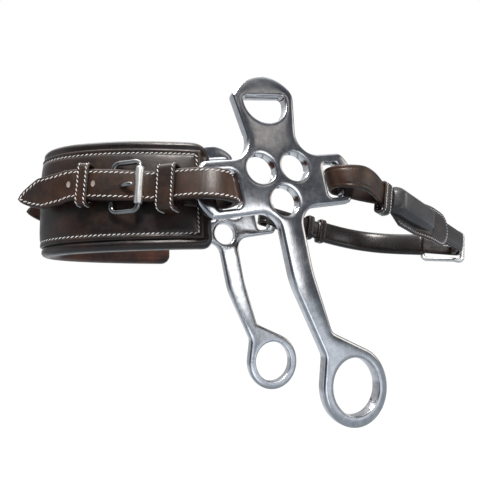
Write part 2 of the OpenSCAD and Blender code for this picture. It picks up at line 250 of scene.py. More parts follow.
def around(n):
    """n angles evenly round a circle."""
    return np.linspace(0, 2 * math.pi, n, False)


def arc(x, z, r, start, end, n):
    """n points on an arc, as corners that need no rounding."""
    angles = np.radians(np.linspace(start, end, n))
    return [(x + r * math.cos(a), z + r * math.sin(a), 0) for a in angles]


NOSE_CURVE = [[7, -41], [-13, -41], [-77.5, -28], [-77.5, 0]]


def wall(t, o=0.0):
    """Point on the noseband, out by o: t is 0 at the left cheek, 1 at the nose, 2 at the right."""
    s = t if t <= 1 else 2 - t
    p = bezier(NOSE_CURVE, s) + o * left_of(slope(NOSE_CURVE, s))
    return p if t <= 1 else np.array([p[0], -p[1]])


def wall_out(t):
    """The outward direction there."""
    return wall(t, 1.0) - wall(t, 0.0)


def tilted(angle, rise, shift=0.0):
    """A frame turned about Y: what takes its points, and its directions, to the part's own."""
    c, s = math.cos(math.radians(angle)), math.sin(math.radians(angle))
    turned_axes = np.array([[c, 0, -s], [0, 1, 0], [s, 0, c]])

    def aim(vectors):
        return np.asarray(vectors, float) @ turned_axes

    def place(points):
        return aim(np.asarray(points, float) + [0, 0, rise]) + [shift, 0, 0]

    return place, aim


STRAP_TILT, CURB_TILT = 12.5, 22
nose_place, nose_aim = tilted(8.7, 1.4)
strap_place, strap_aim = tilted(STRAP_TILT, 1.2)
curb_place, curb_aim = tilted(CURB_TILT, -1.4, 88)


# ---- mesh making ----
def grid_faces(n, m, wrap=True, flip=False, closed=False, ends=False):
    """Four-sided faces over n rows of m points.

    wrap joins the ends of a row, closed joins the last row to the first, ends covers both of them.
    """
    faces = []
    for i in range(n if closed else n - 1):
        for k in range(m if wrap else m - 1):
            here, there, nxt = i * m, (i + 1) % n * m, (k + 1) % m
            faces.append([here + k, here + nxt, there + nxt, there + k])
    if ends:
        faces += [list(range(m))[::-1], list(range((n - 1) * m, n * m))]
    return [q[::-1] for q in faces] if flip else faces


class Geo:
    """Vertices in millimetres, faces, a material number a face, and UVs in millimetres."""

    def __init__(self):
        self.v, self.f, self.m, self.uv = [], [], [], []

    def add(self, verts, faces, mat=0, uv=None):
        base = len(self.v)
        self.v.extend(np.asarray(verts, float).tolist())
        self.uv.extend((np.zeros((len(verts), 2)) if uv is None else np.asarray(uv)).tolist())
        for k, face in enumerate(faces):
            self.f.append([base + i for i in face])
            self.m.append(mat if np.isscalar(mat) else mat[k])
        return self

    def grid(self, rows, mat=0, **joins):
        """Faces over rows of points. mat is one number, or one for each gap between rows."""
        rows = np.asarray(rows, float)
        n, m = rows.shape[:2]
        mats = mat if np.isscalar(mat) else np.repeat(mat, m).tolist()
        return self.add(rows.reshape(-1, 3), grid_faces(n, m, **joins), mats)

    def mirrored(self):
        g = Geo()
        g.v = [[x, -y, z] for x, y, z in self.v]
        g.f = [f[::-1] for f in self.f]
        g.m, g.uv = list(self.m), list(self.uv)
        return g


def make(name, geo, materials, body, replaces=(), slot="leather"):
    """A piece from its geometry, riding on a body and standing for the CAD nodes it replaces."""
    mesh = bpy.data.meshes.new(name)
    mesh.from_pydata([[c * MM for c in v] for v in geo.v], [], geo.f)
    for m in materials:
        mesh.materials.append(m)
    mesh.polygons.foreach_set("material_index", geo.m)
    mesh.polygons.foreach_set("use_smooth", [True] * len(geo.f))
    layer = mesh.uv_layers.new(name="UVMap")
    corner = np.zeros(len(mesh.loops), int)
    mesh.loops.foreach_get("vertex_index", corner)
    layer.data.foreach_set("uv", (np.asarray(geo.uv)[corner] * MM).ravel())
    mesh.update()
    o = bpy.data.objects.new(name, mesh)
    bpy.context.scene.collection.objects.link(o)
    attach(o, body)
    if replaces:
        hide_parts(*replaces)
    return o


def both(name, geo, materials, body, replaces=(), slot="leather"):
    """A piece on the left and its mirror image on the right. {} in body and replaces is the side."""
    for side, g in (("left", geo), ("right", geo.mirrored())):
        stood_for = [node.format(side) for node in replaces]
        make(f"{side}_{name}", g, materials, body.format(side), stood_for, slot)


CREASE_IN, CREASE_WIDTH = 2.3, 0.45


def strap_section(w, t, crown, crease=0.0, m=14):
    """Outline of a strap: (out, across, rough). The dyed face comes first, then edges and back."""
    half, r = w / 2, min(t * 0.42, w * 0.2)
    flat = half - r
    face = []
    for z in np.linspace(flat, -flat, m):
        dip = crease * math.exp(-((half - abs(z) - CREASE_IN) / CREASE_WIDTH) ** 2)
        face.append((t / 2 + crown * (1 - (z / half) ** 2) - crown * 0.4 - dip, z, 0))
    turn = [(r * (1 - math.cos(a)), flat + r * math.sin(a)) for a in np.radians([25, 55, 80])]
    front = t / 2 - crown * 0.4
    return (face + [(front - x, -z, 1) for x, z in turn] + [(x - t / 2, -z, 1) for x, z in turn[::-1]]
            + [(-t / 2, z, 1) for z in np.linspace(-flat, flat, 6)]
            + [(x - t / 2, z, 1) for x, z in turn] + [(front - x, z, 1) for x, z in turn[::-1]])


def sweep(points, out, across, section, widths=None, closed=False, geo=None, lift=None):
    """Carries a section of (out, across, rough) along points. widths scales it across."""
    geo = geo or Geo()
    p, o, a = (np.asarray(q, float) for q in (points, out, across))
    n, m = len(p), len(section)
    sec = np.array([s[:2] for s in section])
    w = np.ones(n) if widths is None else np.asarray(widths)
    high = np.zeros((n, m)) if lift is None else lift
    far = distance_along(p)
    verts = (p[:, None] + o[:, None] * (sec[None, :, 0] + high)[..., None]
             + a[:, None] * (sec[None, :, 1] * w[:, None])[..., None])
    uv = np.stack([np.repeat(far[:, None], m, 1), np.repeat(sec[None, :, 1], n, 0)], -1)
    around_it = [min(section[k][2], section[(k + 1) % m][2]) for k in range(m)]
    mats = around_it * n if closed else around_it * (n - 1) + [1, 1]
    faces = grid_faces(n, m, closed=closed, ends=not closed)
    return geo.add(verts.reshape(-1, 3), faces, mats, uv.reshape(-1, 2))


def flat_frames(path, place, aim, z=0.0):
    """Points, outward and across directions of a level path [x, y] in a tilted frame."""
    path = np.asarray(path, float)
    d = unit(np.gradient(path, axis=0))
    out = np.stack([-d[:, 1], d[:, 0], np.zeros(len(d))], 1)
    pts = np.column_stack([path, np.full(len(path), z)])
    up = np.tile([0.0, 0.0, 1.0], (len(path), 1))
    return place(pts), aim(out), aim(up)


def resample(points, step):
    """The path again, with points about a step apart."""
    points = np.asarray(points, float)
    far = distance_along(points)
    n = max(2, int(round(far[-1] / step)) + 1)
    at = np.linspace(0, far[-1], n)
    return np.column_stack([np.interp(at, far, points[:, k]) for k in range(points.shape[1])])


def join(*parts):
    """One path from several, without repeated points."""
    all_points = np.concatenate([np.asarray(p, float) for p in parts])
    keep = np.concatenate([[True], np.linalg.norm(np.diff(all_points, axis=0), axis=1) > 0.02])
    return all_points[keep]


def stitches(geo, points, normals, pitch, length, r, slant=22, rise=0.12):
    """Separate slanted stitches along a row of points on a surface."""
    row = resample(np.column_stack([points, normals]), pitch)
    c, s = math.cos(math.radians(slant)), math.sin(math.radians(slant))
    u, b = np.linspace(-1, 1, 5)[:, None, None], around(6)[:, None]
    thick = r * np.sqrt(np.maximum(0.12, 1 - 0.88 * u * u))
    high = rise - 0.35 * r * u * u + 0.8 * thick * np.sin(b)
    for q, normal, ahead in zip(row[:, :3], row[:, 3:], np.gradient(row[:, :3], axis=0)):
        normal = unit(normal)
        ahead = unit(ahead - normal * (ahead @ normal))
        side = np.cross(normal, ahead)
        ahead, side = ahead * c + side * s, side * c - ahead * s
        geo.grid(q + normal * high + side * thick * np.cos(b) + ahead * u * length / 2, ends=True)
    return geo


def tube(points, radius, closed=False, sides=12, geo=None, flat=1.0, up=(0, 0, 1)):
    """A round bar along points. radius may vary; flat squeezes it along up."""
    geo = geo or Geo()
    p = np.asarray(points, float)
    d = unit(np.roll(p, -1, 0) - np.roll(p, 1, 0) if closed else np.gradient(p, axis=0))
    side = unit(np.cross(d, np.asarray(up, float)))
    top = np.cross(side, d)
    b = around(sides)[:, None]
    r = np.broadcast_to(radius, len(p))[:, None, None]
    verts = p[:, None] + r * (side[:, None] * np.cos(b) + top[:, None] * np.sin(b) * flat)
    return geo.grid(verts, flip=True, closed=closed, ends=not closed)


def fillet(a, b, c, r, n=6):
    """The arc that rounds corner b of the path a, b, c."""
    a, b, c = (np.asarray(q, float) for q in (a, b, c))
    u, v = unit(a - b), unit(c - b)
    half = math.acos(np.clip(u @ v, -1, 1)) / 2
    m = b + unit(u + v) * r / math.sin(half)
    p, q = b + u * r / math.tan(half) - m, b + v * r / math.tan(half) - m
    a0 = math.atan2(p[1], p[0])
    sweep_by = (math.atan2(q[1], q[0]) - a0 + 3 * math.pi) % (2 * math.pi) - math.pi
    return [m + r * np.array([math.cos(a0 + sweep_by * i / n), math.sin(a0 + sweep_by * i / n)])
            for i in range(n + 1)]


def rounded(corners, fine=1.0):
    """A closed outline from corners (x, z, r)."""
    out = []
    for i, (x, z, r) in enumerate(corners):
        if r == 0:
            out.append(np.array([x, z], float))
            continue
        before, after = corners[i - 1], corners[(i + 1) % len(corners)]
        n = int(math.ceil((5 + r / 3) * fine))
        out += fillet(before[:2], (x, z), after[:2], r, n)
    return np.array(out)


# ---- cheek plates ----
ARM_X, ARM_H, PLATE_MID, PLATE_HALF = 44, 15.2, 50.25, 3.25
PLATE_INNER, PLATE_OUTER = PLATE_MID - PLATE_HALF, PLATE_MID + PLATE_HALF
RING = (20.2, -115.6, 21)
PLATE_OUTLINE = ([(0, 78, 22), (-19.4, 52, 3), (-13.4, ARM_H, 12), (-42.9, ARM_H, 4.5),
                  (-58.1, 0, 20.1), (-42.9, -ARM_H, 2.2), (-6, -ARM_H, 10), (-5.6, -54, 50),
                  (4.9, -95.5, 8)] + arc(*RING, 160, 415, 60)
                 + [(12.6, -84.7, 5), (8.6, -50, 60), (9, -ARM_H, 10), (42.9, -ARM_H, 2.2),
                    (58.1, 0, 20.1), (42.9, ARM_H, 4.5), (13.4, ARM_H, 12), (19.4, 52, 9)])


def circle(x, z, r, n=56):
    return np.array([[x + r * math.cos(a), z + r * math.sin(a)] for a in around(n)])


def plate_holes():
    """Three round holes, the rein ring's bore, the two strap slots and the bridle slot."""
    low, high, far = -11.2, 9.9, 39.5
    front = rounded([(25.4, low, 4.5), (far, low, 2), (far, high, 2), (25.4, high, 4.5)]) * [-1, 1]
    rear = rounded([(29, low, 3), (far, low, 2), (far, high, 2), (29, high, 3)])
    bridle = arc(0, 48, 13.2, 180, 360, 40) + [(13.2, 51, 2.5), (-13.2, 51, 2.5)]
    return [circle(0, -10, 8.5), circle(-10.6, 9, 8.5), circle(10.6, 9, 8.5),
            circle(RING[0], RING[1], 15, 72), rear, front, rounded(bridle)]


def inside(points, loop):
    """Which points lie inside the loop, by counting the edges crossed on the way out."""
    x, z = points[:, 0], points[:, 1]
    hit = np.zeros(len(points), bool)
    for (x0, z0), (x1, z1) in zip(loop, np.roll(loop, -1, 0)):
        cross = (z0 > z) != (z1 > z)
        with np.errstate(divide="ignore", invalid="ignore"):
            hit ^= cross & (x < (x1 - x0) * (z - z0) / (z1 - z0) + x0)
    return hit


def edge_distance(points, loops):
    """Distance from each point to the nearest loop, in batches to spare memory."""
    best = np.full(len(points), 1e9)
    for loop in loops:
        d = np.roll(loop, -1, 0) - loop
        long = np.maximum(np.sum(d * d, 1), 1e-12)
        for k in range(0, len(points), 4000):
            q = points[k:k + 4000, None] - loop[None]
            t = np.clip(np.sum(q * d, 2) / long, 0, 1)
            gap = np.linalg.norm(q - t[..., None] * d, axis=2).min(1)
            best[k:k + 4000] = np.minimum(best[k:k + 4000], gap)
    return best


def turned(loop, ccw):
    """The loop, counterclockwise or clockwise as asked."""
    area = np.sum(loop[:, 0] * np.roll(loop[:, 1], -1) - np.roll(loop[:, 0], -1) * loop[:, 1])
    return loop if (area > 0) == ccw else loop[::-1]


def spaced(loop):
    """The loop without points that nearly repeat the one before."""
    return loop[np.linalg.norm(loop - np.roll(loop, 1, 0), axis=1) > 0.05]


def inset(loop, d):
    """The loop moved d into the metal, which lies on its left."""
    e = unit(np.roll(loop, -1, 0) - loop)
    n0 = np.column_stack([-e[:, 1], e[:, 0]])
    n1 = np.roll(n0, 1, 0)
    m = unit(n0 + n1)
    return loop + m * (d / np.maximum(np.sum(m * n0, 1), 0.6))[:, None]


def plate():
    """A polished plate: flat in the middle, falling away a little to well rounded edges."""
    outer_r, hole_r, fall = 1.25, 0.6, 0.42
    loops = [spaced(turned(rounded(PLATE_OUTLINE, 1.3), True))]
    loops += [spaced(turned(h, False)) for h in plate_holes()]
    points, edges = [], []
    for number, loop in enumerate(loops):
        r = hole_r if number else outer_r
        for d in [r * (1 - math.cos(math.radians(a))) for a in (0, 25, 45, 65, 90)] + [2.2]:
            ring = inset(loop, d)
            k = len(points)
            points += ring.tolist()
            edges += [(k + i, k + (i + 1) % len(ring)) for i in range(len(ring))]
    grid = np.array([[x + (0.9 if int(round(z / 1.6)) % 2 else 0), z]
                     for z in np.arange(-137, 75, 1.6) for x in np.arange(-50, 50, 1.8)])
    grid = grid[inside(grid, loops[0])]
    grid = grid[edge_distance(grid, loops) > 3.1]
    for h in loops[1:]:
        grid = grid[~inside(grid, h)]
    points += grid.tolist()
    v, _, f = geometry.delaunay_2d_cdt([Vector(p) for p in points], edges, [], 1, 1e-5)[:3]
    v = np.array([[p[0], p[1]] for p in v])
    mid = np.array([v[list(t)].mean(0) for t in f])
    ok = inside(mid, loops[0])
    for h in loops[1:]:
        ok &= ~inside(mid, h)
    f = [list(t) for t, good in zip(f, ok) if good]
    outer_d, hole_d = edge_distance(v, loops[:1]), edge_distance(v, loops[1:])
    top = PLATE_HALF - fall
    h = top + fall * (1 - np.exp(-np.maximum(outer_d - 0.4, 0) / 2.3)) * (
        0.55 + 0.45 * (1 - np.exp(-hole_d / 1.2)))
    for d, r in ((outer_d, outer_r), (hole_d, hole_r)):
        h -= r - np.sqrt(np.maximum(r ** 2 - (r - np.minimum(d, r)) ** 2, 0))
    geo = Geo()
    n = len(v)
    front = np.column_stack([v[:, 0] + ARM_X, -PLATE_MID - h, v[:, 1]])
    back = np.column_stack([v[:, 0] + ARM_X, -PLATE_MID + h, v[:, 1]])
    flip = []
    for t in f:
        a, b, c = v[t[0]], v[t[1]], v[t[2]]
        ccw = (b[0] - a[0]) * (c[1] - a[1]) - (b[1] - a[1]) * (c[0] - a[0]) > 0
        flip.append(t if ccw else t[::-1])
    faces = flip + [[n + i for i in t[::-1]] for t in flip]
    sides = [(t[i], t[(i + 1) % 3]) for t in flip for i in range(3)]
    known = set(sides)
    faces += [[b, a, n + a, n + b] for a, b in sides if (b, a) not in known]
    geo.add(np.concatenate([front, back]), faces, 0, np.concatenate([v, v]))
    return geo


both("cheek_plate", plate(), [STEEL], "{}_cheek", ["{}_cheek"], "steel")

# ---- noseband pad, lining and panel ----
PAD_END, PANEL_START = 1.875, 0.075
INNER_FACE = -4.6


def wall_stations(t0, t1, step=1.6):
    """Values of t spaced evenly along the noseband."""
    fine = np.linspace(t0, t1, 600)
    far = distance_along([wall(t) for t in fine])
    at = np.linspace(0, far[-1], int(far[-1] / step))
    return np.interp(at, far, fine), at, far[-1]


def wall_grid(ts, section):
    """Points of (out, up) section rows at each t, in the noseband's frame."""
    pts = []
    for t, row in zip(ts, section):
        p, o = wall(t), wall_out(t)
        pts.append([[*(p + o * q[0]), q[1]] for q in row])
    return nose_place(np.array(pts))


def pad_outline():
    """Padding in section: rolled rims above and below a flatter face."""
    face = [(0.15 * math.cos(z / 22 * math.pi / 2), z) for z in np.linspace(21, -21, 13)]
    rim = [(-0.15, -22.6), (0.35, -23.6), (0.9, -24.9), (0.85, -26.2), (0.1, -27.3), (-1.3, -28.0),
           (-3.2, -28.2), (-5.2, -28.0), (-7.0, -27.3), (-8.2, -26.1), (-8.7, -24.5), (-8.4, -23.0)]
    inner = [(-8.0, z) for z in np.linspace(-21, 21, 9)]
    return [(o, z * 1.045) for o, z in face + rim + inner + [(o, -z) for o, z in rim[::-1]]]


def shoulder(e, r):
    """A quarter circle's height, 0 to 1, at a distance e from an edge rounded by r."""
    return math.sqrt(max(0.0, 1 - (1 - min(e / r, 1)) ** 2))


def soft_noise(x, y, seed):
    """A smooth, repeatable ripple from a few sine waves."""
    rng = np.random.RandomState(seed)
    total = 0
    for _ in range(6):
        fx, fy = rng.uniform(0.05, 0.32, 2)
        total = total + math.sin(x * fx + rng.uniform(0, 6.3)) * math.sin(y * fy + rng.uniform(0, 6.3))
    return total / 6


def padding():
    """The padding, with rounded corners and a bead beside its closed ends."""
    at, total = wall_stations(0.0, PAD_END, 1.5)[1:]
    cap, corner_above, corner_below = 3.4, 10.0, 5.5
    extra = [0.05, 0.25, 0.7, 1.4, 2.3]
    at = np.unique(np.concatenate([at, extra, total - np.array(extra)]))
    fine = np.linspace(0, PAD_END, 900)
    ts = np.interp(at, distance_along([wall(t) for t in fine]), fine)
    outline = pad_outline()
    rows = []
    for s in at:
        e = min(s, total - s)
        f = shoulder(e, cap)
        bead = 1.0 * math.exp(-((e - 2.6) / 1.7) ** 2) - 0.35 * math.exp(-((e - 5.6) / 0.9) ** 2)
        row = []
        for o, z in outline:
            ripple = 0.28 * soft_noise(s, z, 3) if o > -4 else 0.2 * soft_noise(s, z, 5)
            rolled = bead if o > -0.5 and abs(z) < 25 else 0.0
            oo = -4 + (o + 4 + ripple + rolled) * (0.12 + 0.88 * f)
            corner = corner_above if z > 0 else corner_below
            cut = corner * (1 - shoulder(e, corner))
            row.append((oo, z * (1 - cut / 29.4)))
        rows.append(row)
    pts = wall_grid(ts, rows)
    n, m = pts.shape[:2]
    faces = grid_faces(n, m, ends=True)
    inner = [1 if min(outline[k][0], outline[(k + 1) % m][0]) < INNER_FACE else 0 for k in range(m)]
    return Geo().add(pts.reshape(-1, 3), faces, inner * (n - 1) + [0, 0])


nose_pad = make("nose_padding", padding(), [HIDE, LINING], "noseband", ["nose_pad"])


def lining():
    """The lining inside the padding, a little full between its edges."""
    ts, at, total = wall_stations(0.012, PAD_END - 0.012, 2.0)
    zs = np.concatenate([[-25.6, -25.3, -24.6], np.linspace(-23, 23, 15), [24.6, 25.3, 25.6]])
    rows = []
    for s in at:
        e = min(s, total - s)
        row = []
        for z in zs:
            q = min(e, 26 - abs(z))
            full = 1 - math.exp(-q / 2.2)
            row.append((-8.2 - 1.75 * full - 0.2 * soft_noise(s, z, 9) * full, z))
        rows.append(row)
    return Geo().grid(wall_grid(ts, rows), wrap=False)


nose_lining = make("nose_lining_leather", lining(), [LINING], "noseband", ["nose_lining"], "lining")


def panel():
    """The raised panel: full in the field, pulled down along the row of stitches."""
    even_t, even, total = wall_stations(PANEL_START, PAD_END - PANEL_START, 1.1)
    half, sewn_in = 24.4, 2.9
    steps = [0, 0.12, 0.4, 0.9, 1.5, 2.1, 2.5, 2.9, 3.3, 3.8, 4.6, 6.0]
    zs = [half - s for s in steps]
    zs = np.array(zs + list(np.linspace(16.5, -16.5, 17)) + [-z for z in zs[::-1]])
    at = np.unique(np.concatenate([even, steps, total - np.array(steps)]))
    ts = np.interp(at, even, even_t)

    def height(s, z):
        e = min(s, total - s, half - abs(z))
        lip = 1.7 * shoulder(e, 0.9)
        groove = 0.5 * math.exp(-((e - sewn_in) / 0.62) ** 2)
        full = 0.55 * (1 - math.exp(-max(e - sewn_in, 0) / 4.5))
        return lip - groove + full + 0.16 * soft_noise(s * 1.5, z * 1.5, 21) * min(e / 5, 1)

    rows = [[(height(s, z) - (0.25 if height(s, z) < 0.05 else 0), z) for z in zs] for s in at]
    geo = Geo().grid(wall_grid(ts, rows), wrap=False)
    corner = 1.2
    s0, s1, z1 = sewn_in, total - sewn_in, half - sewn_in
    ring = rounded([(s0, -z1, corner), (s1, -z1, corner), (s1, z1, corner), (s0, z1, corner)])
    ring = resample(np.concatenate([ring, ring[:1]]), 1.0)
    p, normals = [], []
    for s, z in ring:
        t = np.interp(s, even, even_t)
        q, o = wall(t), wall_out(t)
        p.append([*(q + o * 1.35), z])
        normals.append([*o, 0])
    return geo, stitches(Geo(), nose_place(p), nose_aim(normals), 2.4, 2.15, 0.3, 24)


panel_geo, panel_sew = panel()
make("nose_panel_leather", panel_geo, [PANEL_HIDE], "noseband", ["nose_panel"])
make("nose_panel_stitching", panel_sew, [THREAD], "noseband")

# ---- noseband straps ----
STRAP_W, BILLET_W, PLY = 15.4, 16.2, 2.2
BASE_O, BASE_TOP, BILLET_O = 2.1, 5.9, 6.1
LOOP_OUT = PLATE_OUTER + 1.5 + PLY / 2
LAND_T, BEND_T, BUCKLE_T = 0.36, 0.64, 0.437
BILLET_TIP = np.array([-88.4, -12.6])
TIP_DROOP, POINT_LENGTH = 13.0, 13.0
FIX_U = 0.62


def descent():
    """Curve of the billet from behind the front bar down to where it lies on the base strap."""
    land = wall(LAND_T, BILLET_O + PLY / 2)
    return [[-4.5, -LOOP_OUT], [-14, -LOOP_OUT + 0.2], land - 8 * slope(NOSE_CURVE, LAND_T), land]


def billet_line():
    """Middle line of the billet: [x, y], from the sewn end round the front bar to the tip."""
    mid = BILLET_O + PLY / 2
    start = wall(0.02, BASE_O + PLY / 2)
    fold = np.array([14.2, -51.0])
    bulge = np.array([3.6, -62.3])
    back = curve(14, start, start + [5.0, -0.2], fold + [-0.2, 6.0], fold)
    front = curve(20, fold, fold + [0.3, -7.8], bulge + [7.8, -0.3], bulge)
    keeper = bezier(descent(), FIX_U)
    run = curve(12, bulge, bulge + [-9.4, 0.4], keeper - 7 * slope(descent(), FIX_U), keeper)
    off = wall(BEND_T, mid)
    loose = curve(30, off, off + 13 * slope(NOSE_CURVE, BEND_T), BILLET_TIP + [10, -7], BILLET_TIP)
    line = join([wall(t, BASE_O + PLY / 2) for t in np.linspace(0.19, 0.02, 14)], back, front, run,
                [bezier(descent(), t) for t in np.linspace(FIX_U, 1, 12)],
                [wall(t, mid) for t in np.linspace(LAND_T, BEND_T, 20)], loose)
    return resample(line, 0.9), off


def nearest(line, point):
    """The number of the line's point that is nearest to another."""
    return int(np.argmin(np.linalg.norm(line - point, axis=1)))


def billet_parts():
    """The billet, its stitches and its punched holes."""
    line, off = billet_line()
    n = len(line)
    d = unit(np.gradient(line, axis=0))
    out = np.stack([-d[:, 1], d[:, 0], np.zeros(n)], 1)
    up = np.tile([0.0, 0.0, 1.0], (n, 1))
    pts = np.column_stack([line, np.zeros(n)])
    far = distance_along(line)
    bend = nearest(line, off)
    for i in range(bend, n):
        a = math.radians(TIP_DROOP) * min(1, (far[i] - far[bend]) / 9.0)
        c, s = math.cos(a), math.sin(a)
        r = pts[i] - [off[0], off[1], 0]
        pts[i] = [off[0] + r[0] * c, off[1] + r[1], r[0] * s]
        up[i] = [-s, 0, c]
        out[i] = unit(np.cross(up[i], unit([d[i][0] * c, d[i][1], d[i][0] * s])))
    left = far[-1] - far
    width = np.maximum(np.minimum(left / POINT_LENGTH, 1.0) ** 0.58, 0.035)
    fold = int(np.argmax(line[:, 0]))
    keeper_far = far[nearest(line, bezier(descent(), FIX_U))]
    # between the fold and its keeper the strap is doubled, leans out below and lies square
    bulge = np.clip((far - far[fold] + 5) / 9, 0, 1) * np.clip((keeper_far - 4 - far) / 9, 0, 1)
    lean = math.radians(9) * bulge
    square = math.tan(math.radians(STRAP_TILT)) * np.exp(-((far - far[fold]) / 9.0) ** 2)
    up = up * np.cos(lean)[:, None] - out * np.sin(lean)[:, None]
    up = up - np.array([1.0, 0, 0]) * square[:, None]
    width = width * (1 + 0.03 * bulge)
    section = strap_section(BILLET_W, PLY, 0.3)
    back = np.array([1.0 if q[0] < 0 else 0.0 for q in section])
    place = strap_place(pts), strap_aim(out), strap_aim(up)
    near_fold = np.exp(-((far - far[fold]) / 6.0) ** 2)
    width = width * (1 - 0.07 * near_fold)
    crowned = np.array([(2 * q[1] / BILLET_W) ** 2 for q in section])
    lift = -1.3 * bulge[:, None] * back[None] - 0.9 * near_fold[:, None] * crowned[None]
    geo = sweep(*place, section, width, lift=lift)
    sew = Geo()
    row_in = 1.95
    half = BILLET_W / 2 * width
    keep = (far > far[fold] - 3.5) & (half > row_in + 0.5)
    for side in (1, -1):
        z = side * (half - row_in)
        p = place[0] + place[2] * z[:, None] + place[1] * (PLY / 2 + 0.03)
        stitches(sew, p[keep], place[1][keep], 2.6, 2.3, 0.33)
    holes = Geo()
    for i in (nearest(line, wall(0.56, BILLET_O + PLY / 2)), bend + 4):
        eyelet(holes, place[0][i] + place[1][i] * (PLY / 2 + 0.24), place[1][i], place[2][i])
    return geo, sew, holes


def eyelet(geo, at, out, up, r=1.5):
    """A punched hole: an oval with a pressed edge and a pale bottom."""
    side = np.cross(up, out)
    rings = [(r * 1.2, -0.12), (r * 1.08, 0.05), (r * 0.9, 0.0), (r * 0.55, -0.05), (0.02, -0.06)]
    geo.grid([[at + out * h + side * q * 0.62 * math.cos(a) + up * q * math.sin(a) for a in around(16)]
              for q, h in rings], (0, 1, 1, 1))


billet_geo, billet_sew, billet_holes = billet_parts()
both("billet_strap", billet_geo, [STRAP_HIDE, EDGE], "noseband", ["{}_billet"])
both("billet_stitching", billet_sew, [THREAD], "noseband")
both("billet_holes", billet_holes, [STRAP_HIDE, RAW], "noseband")

base = Geo()
for low, t0, t1, crown in ((BASE_O, 0.475, 0.55, 0.1), (3.6, 0.545, 0.63, 0.05)):
    line = [wall(t, (low + BASE_TOP) / 2) for t in np.linspace(t0, t1, 10)]
    section = strap_section(STRAP_W, BASE_TOP - low, crown)
    sweep(*flat_frames(line, strap_place, strap_aim), section, geo=base)
both("base_strap_leather", base, [HIDE, EDGE], "noseband", ["{}_base_strap"])


# ---- keepers ----
def keeper_band(loop, length, thick, origin, ahead, out, up, closed=True, pitch=2.2):
    """A band round a strap, with two rows of stitches. loop is (out, up) at its middle."""
    loop = resample(np.asarray(loop, float), 0.9)
    if closed:
        loop = loop[:-1]
    p = np.array([origin + out * o + up * z for o, z in loop])
    d = unit(np.roll(loop, -1, 0) - np.roll(loop, 1, 0) if closed else np.gradient(loop, axis=0))
    normals = np.array([up * q[0] - out * q[1] for q in d])
    across = np.tile(ahead, (len(loop), 1))
    geo = sweep(p, normals, across, strap_section(length, thick, 0.14, m=8), closed=closed)
    sew = Geo()
    shown = loop[:, 0] > loop[:, 0].min() + 1.0
    for side in (1, -1):
        q = p + across * side * (length / 2 - 1.15) + normals * (thick / 2 + 0.02)
        stitches(sew, q[shown], normals[shown], pitch, pitch * 0.84, 0.27)
    return geo, sew


def put_keeper(name, parts, materials, thread, body, replaces, put=make):
    """A keeper's band and its stitches; put is make for one keeper, both for a mirrored pair."""
    put(f"{name}_band", parts[0], materials, body, [replaces])
    put(f"{name}_stitching", parts[1], [thread], body)


def round_loop(low, high, half, r, open_low=False):
    """Rounded rectangle (out, up); open ones start and end at the low side."""
    a, b, c, d = (low, half), (high, half), (high, -half), (low, -half)
    far_side = fillet(a, b, c, r, 7) + fillet(b, c, d, r, 7)
    if open_low:
        return np.array([a, *far_side, d])
    middle = [((low + high) / 2, half)]
    return np.array(middle + far_side + fillet(c, d, a, r, 7) + fillet(d, a, b, r, 7) + middle)


def axes_along(d, aim):
    """Ahead, outward and up for a piece on a strap that runs along d."""
    return aim([*d, 0]), aim([*left_of(d), 0]), aim([0, 0, 1])


KEEPER_T, ROOM = 1.5, 2.0
RUN_T = 0.605
running_at, running_ahead = wall(RUN_T), slope(NOSE_CURVE, RUN_T)
loop = round_loop(2.7, BILLET_O + PLY + 1.3, STRAP_W / 2 + ROOM + 0.5, 1.9)
parts = keeper_band(loop, 6.2, KEEPER_T, strap_place([*running_at, 0]),
                    *axes_along(running_ahead, strap_aim))
put_keeper("running_keeper", parts, [STRAP_HIDE, EDGE], THREAD, "{}_running_keeper",
           "{}_running_keeper", both)

fixed_ahead = slope(descent(), FIX_U)
fixed_at = bezier(descent(), FIX_U) - 1.6 * fixed_ahead
loop = round_loop(-6.3, PLY / 2 + 1.3, STRAP_W / 2 + ROOM + 1.4, 2.2, True)
parts = keeper_band(loop, 10.2, KEEPER_T, strap_place([*fixed_at, -0.9]),
                    *axes_along(fixed_ahead, strap_aim), closed=False)
put_keeper("fixed_keeper", parts, [STRAP_HIDE, EDGE], THREAD, "noseband", "{}_fixed_keeper", both)

# ---- noseband buckles ----
BAR_X, BAR_O, BUCKLE_Z = 7.25, 4.6, -0.8
ROLLER_O = BILLET_O + PLY + 0.15 + 2.1
BUCKLE_L, BUCKLE_H = 14.5, 25.5
buckle_p, buckle_d = wall(BUCKLE_T), slope(NOSE_CURVE, BUCKLE_T)
buckle_out = left_of(buckle_d)


def at_buckle(points):
    """(ahead, out, up) from the fixed bar, in millimetres, to the part's own frame."""
    q = np.asarray(points, float)
    xy = buckle_p + np.outer(q[:, 0] + BAR_X, buckle_d) + np.outer(q[:, 1] + BAR_O, buckle_out)
    return strap_place(np.column_stack([xy, q[:, 2] + BUCKLE_Z]))


def frame_loop(length, rise, height, corner, front=0.0):
    """Closed middle line of a buckle frame: (ahead, out, up)."""
    half = height / 2
    flat = rounded([(front, half, corner), (-length, half, corner), (-length, -half, corner),
                    (front, -half, corner)], 1.6)
    flat = resample(np.concatenate([flat, flat[:1]]), 0.8)[:-1]
    return np.array([[x, rise * (-x / length) ** 1.3 if x < 0 else 1.13 * x, z] for x, z in flat])


free_rise = ROLLER_O - BAR_O
ring = at_buckle(frame_loop(BUCKLE_L, free_rise, BUCKLE_H, 3.2))
out_dir = strap_aim([buckle_out[0], buckle_out[1], 0])
both("buckle_frame_wire", tube(ring, 1.35, True, 14, flat=0.86, up=out_dir), [DARKENED_STEEL], "noseband",
     ["{}_buckle"], "steel")


